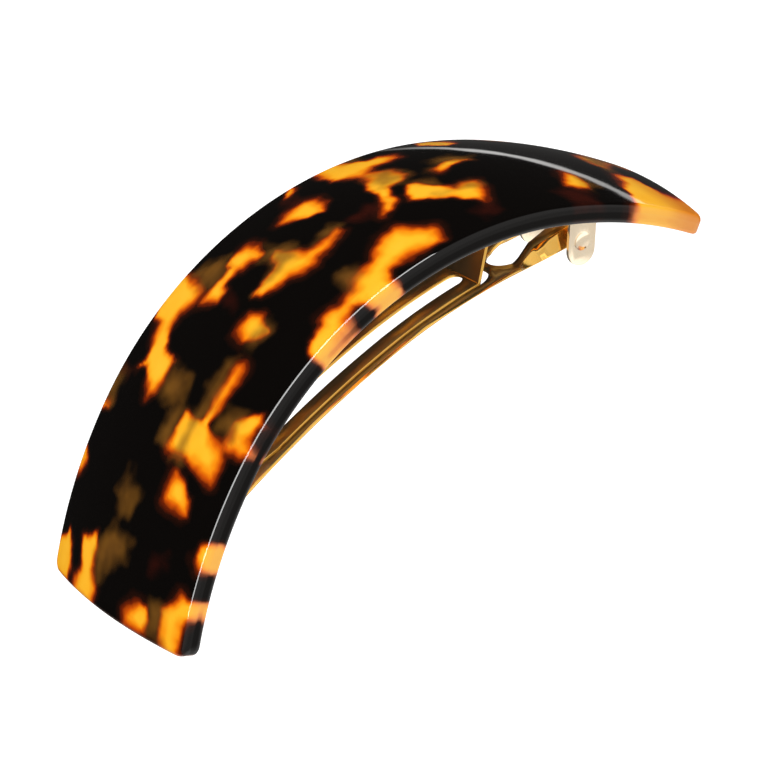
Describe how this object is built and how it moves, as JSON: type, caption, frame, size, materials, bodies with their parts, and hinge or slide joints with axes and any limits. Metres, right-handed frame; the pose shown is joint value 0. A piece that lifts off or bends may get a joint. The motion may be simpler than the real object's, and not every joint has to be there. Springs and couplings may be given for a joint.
{
  "type": "barrette",
  "caption": "Arched rectangular hair barrette: a polished tortoiseshell acetate shell on a sprung gold metal clip with a hinged arm, tension bar and pinch clasp.",
  "frame": {"origin": "middle of the object's box, on the plane that the shell's two end edges rest on", "axes": "+X along the shell to the clasp end, +Z out of the arch, away from the hair; +Y across the shell"},
  "size_m": [0.1078, 0.0376, 0.0314],
  "materials": {
    "acetate": "polished tortoiseshell, near black with translucent amber patches",
    "gold_metal": "polished gold plate"
  },
  "bodies": {
    "base": {"shell": "acetate", "base_plate": "gold_metal", "shell_pins": "gold_metal", "clasp_bridge": "gold_metal", "clasp_rivet": "gold_metal", "hinge_pin": "gold_metal"},
    "arm": {"clamp_arm": "gold_metal"},
    "bar": {"tension_bar": "gold_metal"},
    "near_ear": {"near_ear": "gold_metal"},
    "far_ear": {"far_ear": "gold_metal"}
  },
  "joints": [
    {"name": "arm_hinge", "type": "hinge", "parent": "base", "child": "arm", "pos_m": [-0.0328, 0, 0.0071], "axis": [0, 1, 0], "range_deg": [0, 95]},
    {"name": "bar_spring", "type": "hinge", "parent": "base", "child": "bar", "pos_m": [-0.0326, 0, 0.00912], "axis": [0, 1, 0], "range_deg": [0, 9.5]},
    {"name": "near_ear_pinch", "type": "hinge", "parent": "base", "child": "near_ear", "pos_m": [0.04065, -0.00578, 0.0087], "axis": [0.866, 0, -0.5], "range_deg": [-3, 3], "stiffness_Nm_per_rad": 0.3},
    {"name": "far_ear_pinch", "type": "hinge", "parent": "base", "child": "far_ear", "pos_m": [0.04065, 0.00578, 0.0087], "axis": [-0.866, 0, 0.5], "range_deg": [-3, 3], "stiffness_Nm_per_rad": 0.3}
  ],
  "couplings": [
    {"joint": "bar_spring", "follows": "arm_hinge", "ratio": 0.1}
  ]
}
